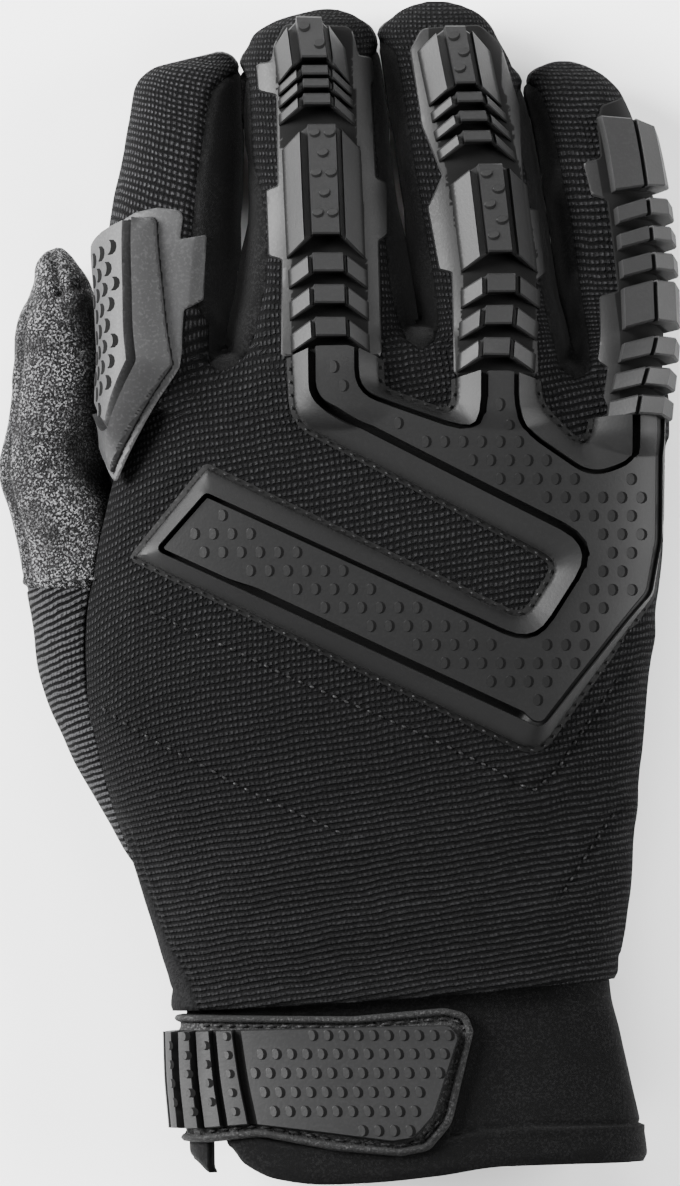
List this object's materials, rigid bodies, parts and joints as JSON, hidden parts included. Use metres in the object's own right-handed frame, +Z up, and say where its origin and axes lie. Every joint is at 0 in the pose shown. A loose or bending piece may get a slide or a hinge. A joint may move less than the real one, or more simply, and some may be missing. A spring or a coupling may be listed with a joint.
{
  "type": "tactical glove",
  "caption": "Right-hand protective glove lying palm down, with a knit back, moulded rubber guards over knuckles and fingers, a leather thumb, and a neoprene cuff closed by a wrist strap.",
  "frame": {"origin": "under the middle of the glove's bounding box, on the surface that it lies on", "axes": "+Y from the cuff to the fingertips, +X from the thumb side to the little finger, +Z up from the palm to the back of the hand"},
  "size_m": [0.1402, 0.2452, 0.0423],
  "materials": {
    "knit": "matte ribbed polyester knit, black",
    "palm_leather": "matte fine-grained synthetic leather, black",
    "stretch": "smooth stretch fabric, black",
    "thumb_leather": "grained synthetic leather, black",
    "neoprene": "smooth neoprene with a jersey face, black",
    "webbing": "tightly woven band with a welted edge, black",
    "strap_rubber": "moulded rubber with a satin skin, black",
    "guard_rubber": "moulded rubber with a satin skin, dark grey"
  },
  "bodies": {
    "root": {"back_panel": "knit", "palm_panel": "palm_leather", "fourchette_index_middle": "stretch", "fourchette_middle_ring": "stretch", "fourchette_ring_little": "stretch", "thumb_leather": "thumb_leather", "thumb_gusset": "knit", "cuff": "neoprene", "strap_band": "webbing", "strap_plate": "strap_rubber", "knuckle_guard": "guard_rubber", "index_guard": "guard_rubber", "middle_guard": "guard_rubber", "ring_guard": "guard_rubber", "little_guard": "guard_rubber"}
  },
  "joints": []
}
